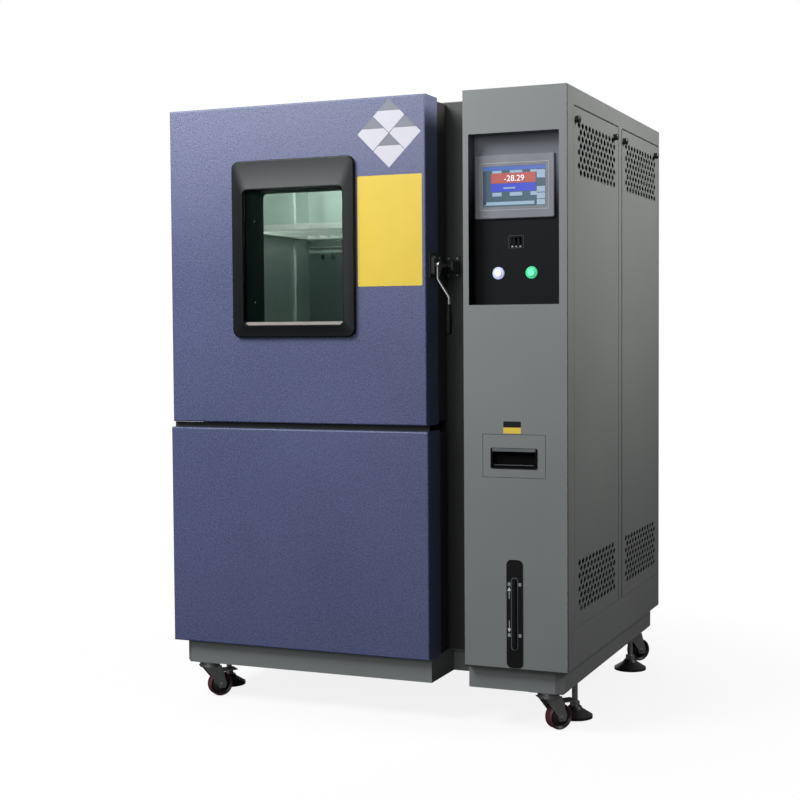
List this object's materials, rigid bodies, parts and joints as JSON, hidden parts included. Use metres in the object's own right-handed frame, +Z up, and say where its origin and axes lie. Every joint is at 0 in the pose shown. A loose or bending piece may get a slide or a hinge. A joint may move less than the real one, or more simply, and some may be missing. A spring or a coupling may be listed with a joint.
{
  "type": "environmental test chamber",
  "caption": "Floor-standing temperature and humidity test chamber with a windowed insulated door, a control cabinet with touch panel and vents, casters and levelling feet.",
  "frame": {"origin": "on the floor, under the middle of the whole object's outer box", "axes": "+Z up, +Y from the door side towards the rear, +X towards the control cabinet"},
  "size_m": [1.111, 0.972, 1.556],
  "materials": {
    "grey_paint": "fine textured grey powder coat",
    "blue_paint": "coarse textured blue-violet powder coat",
    "black_paint": "satin black powder coat",
    "dark_recess": "satin dark grey paint",
    "stainless": "brushed stainless sheet",
    "zinc": "bright zinc plate",
    "bright": "polished plate",
    "black_plastic": "moulded black plastic",
    "grey_plastic": "fine matt moulding",
    "foam": "rigid insulating foam",
    "gasket": "matt seal rubber",
    "tread": "dark red-brown rubber",
    "glass": "clear heated glass",
    "screen": "lit colour display",
    "white_cap": "lit translucent cap",
    "green_cap": "lit translucent cap",
    "aluminium": "plain anodised"
  },
  "bodies": {
    "cabinet": {"base_frame": "grey_paint", "left_side_panel": "grey_paint", "rear_panel": "grey_paint", "top_cover": "grey_paint", "front_bulkhead": "black_paint", "black_front_frames": "black_paint", "lower_front_cover": "blue_paint", "control_front_panel": "grey_paint", "control_cabinet_frame": "grey_paint", "front_side_cover": "grey_paint", "rear_side_cover": "grey_paint", "chamber_liner": "stainless", "insulation": "foam", "air_baffle": "stainless", "shelf_runners": "stainless", "fan_motor": "black_paint", "conditioning_coils": "aluminium", "compressor": "black_paint", "condenser": "aluminium", "electrical_plate": "zinc", "operating_recess": "dark_recess", "touch_panel_housing": "grey_plastic", "touch_screen": "screen", "button_bezels": "bright", "level_gauge_plate": "grey_paint", "level_gauge_tube": "glass", "hinge_body_leaves": "zinc", "latch_keeper": "black_paint", "caster_plates": "zinc"},
    "door": {"door_skin": "blue_paint", "door_core": "foam", "door_gasket": "gasket", "window_frame": "black_plastic", "window_panes": "glass", "hinge_door_leaves": "zinc", "latch_base": "black_paint"},
    "latch": {"latch_lever": "bright", "latch_grip": "black_plastic"},
    "drawer": {"water_drawer": "grey_paint", "drawer_pull": "grey_plastic"},
    "white_push_button": {"white_button": "white_cap"},
    "green_push_button": {"green_button": "green_cap"},
    "fan": {"circulation_fan": "aluminium"},
    "shelf": {"sample_shelf": "stainless"},
    "fork_front_left": {"caster_fork_front_left": "zinc"},
    "wheel_front_left": {"caster_wheel_front_left": "tread"},
    "foot_front_left": {"levelling_foot_front_left": "black_plastic"},
    "fork_front_right": {"caster_fork_front_right": "zinc"},
    "wheel_front_right": {"caster_wheel_front_right": "tread"},
    "foot_front_right": {"levelling_foot_front_right": "black_plastic"},
    "fork_rear_left": {"caster_fork_rear_left": "zinc"},
    "wheel_rear_left": {"caster_wheel_rear_left": "tread"},
    "foot_rear_left": {"levelling_foot_rear_left": "black_plastic"},
    "fork_rear_right": {"caster_fork_rear_right": "zinc"},
    "wheel_rear_right": {"caster_wheel_rear_right": "tread"},
    "foot_rear_right": {"levelling_foot_rear_right": "black_plastic"},
    "knob_1": {"cover_knob_1": "black_plastic"},
    "knob_2": {"cover_knob_2": "black_plastic"},
    "knob_3": {"cover_knob_3": "black_plastic"},
    "knob_4": {"cover_knob_4": "black_plastic"}
  },
  "joints": [
    {"name": "door_hinge", "type": "hinge", "parent": "cabinet", "child": "door", "pos_m": [-0.5465, -0.385, 1.1505], "axis": [0, 0, -1], "range_deg": [0, 120]},
    {"name": "latch_turn", "type": "hinge", "parent": "door", "child": "latch", "pos_m": [0.2085, -0.428, 1.14], "axis": [-1, 0, 0], "range_deg": [0, 75]},
    {"name": "drawer_slide", "type": "slide", "parent": "cabinet", "child": "drawer", "axis": [0, -1, 0], "range_m": [0, 0.15]},
    {"name": "white_button_press", "type": "slide", "parent": "cabinet", "child": "white_push_button", "axis": [0, 1, 0], "range_m": [0, 0.003], "stiffness_N_per_m": 500, "springref_m": -0.001},
    {"name": "green_button_press", "type": "slide", "parent": "cabinet", "child": "green_push_button", "axis": [0, 1, 0], "range_m": [0, 0.003], "stiffness_N_per_m": 500, "springref_m": -0.001},
    {"name": "fan_spin", "type": "hinge", "parent": "cabinet", "child": "fan", "pos_m": [-0.174, 0.166, 1.3405], "axis": [0, 1, 0], "continuous": true},
    {"name": "shelf_slide", "type": "slide", "parent": "cabinet", "child": "shelf", "axis": [0, -1, 0], "range_m": [0, 0.06]},
    {"name": "swivel_front_left", "type": "hinge", "parent": "cabinet", "child": "fork_front_left", "pos_m": [-0.4725, -0.406, 0.086], "axis": [0, 0, 1], "continuous": true},
    {"name": "wheel_spin_front_left", "type": "hinge", "parent": "fork_front_left", "child": "wheel_front_left", "pos_m": [-0.45376, -0.38519, 0.033], "axis": [-0.7431, 0.6691, 0], "continuous": true},
    {"name": "foot_height_front_left", "type": "slide", "parent": "cabinet", "child": "foot_front_left", "axis": [0, 0, 1], "range_m": [0, 0.02]},
    {"name": "swivel_front_right", "type": "hinge", "parent": "cabinet", "child": "fork_front_right", "pos_m": [0.4755, -0.406, 0.086], "axis": [0, 0, 1], "continuous": true},
    {"name": "wheel_spin_front_right", "type": "hinge", "parent": "fork_front_right", "child": "wheel_front_right", "pos_m": [0.49424, -0.38519, 0.033], "axis": [-0.7431, 0.6691, 0], "continuous": true},
    {"name": "foot_height_front_right", "type": "slide", "parent": "cabinet", "child": "foot_front_right", "axis": [0, 0, 1], "range_m": [0, 0.02]},
    {"name": "swivel_rear_left", "type": "hinge", "parent": "cabinet", "child": "fork_rear_left", "pos_m": [-0.4725, 0.414, 0.086], "axis": [0, 0, 1], "continuous": true},
    {"name": "wheel_spin_rear_left", "type": "hinge", "parent": "fork_rear_left", "child": "wheel_rear_left", "pos_m": [-0.45376, 0.43481, 0.033], "axis": [-0.7431, 0.6691, 0], "continuous": true},
    {"name": "foot_height_rear_left", "type": "slide", "parent": "cabinet", "child": "foot_rear_left", "axis": [0, 0, 1], "range_m": [0, 0.02]},
    {"name": "swivel_rear_right", "type": "hinge", "parent": "cabinet", "child": "fork_rear_right", "pos_m": [0.4755, 0.414, 0.086], "axis": [0, 0, 1], "continuous": true},
    {"name": "wheel_spin_rear_right", "type": "hinge", "parent": "fork_rear_right", "child": "wheel_rear_right", "pos_m": [0.49424, 0.43481, 0.033], "axis": [-0.7431, 0.6691, 0], "continuous": true},
    {"name": "foot_height_rear_right", "type": "slide", "parent": "cabinet", "child": "foot_rear_right", "axis": [0, 0, 1], "range_m": [0, 0.02]},
    {"name": "knob_turn_1", "type": "hinge", "parent": "cabinet", "child": "knob_1", "pos_m": [0.5435, -0.398, 1.481], "axis": [1, 0, 0], "range_deg": [0, 90]},
    {"name": "knob_turn_2", "type": "hinge", "parent": "cabinet", "child": "knob_2", "pos_m": [0.5435, -0.037, 1.481], "axis": [1, 0, 0], "range_deg": [0, 90]},
    {"name": "knob_turn_3", "type": "hinge", "parent": "cabinet", "child": "knob_3", "pos_m": [0.5435, 0.062, 1.481], "axis": [1, 0, 0], "range_deg": [0, 90]},
    {"name": "knob_turn_4", "type": "hinge", "parent": "cabinet", "child": "knob_4", "pos_m": [0.5435, 0.423, 1.481], "axis": [1, 0, 0], "range_deg": [0, 90]}
  ]
}
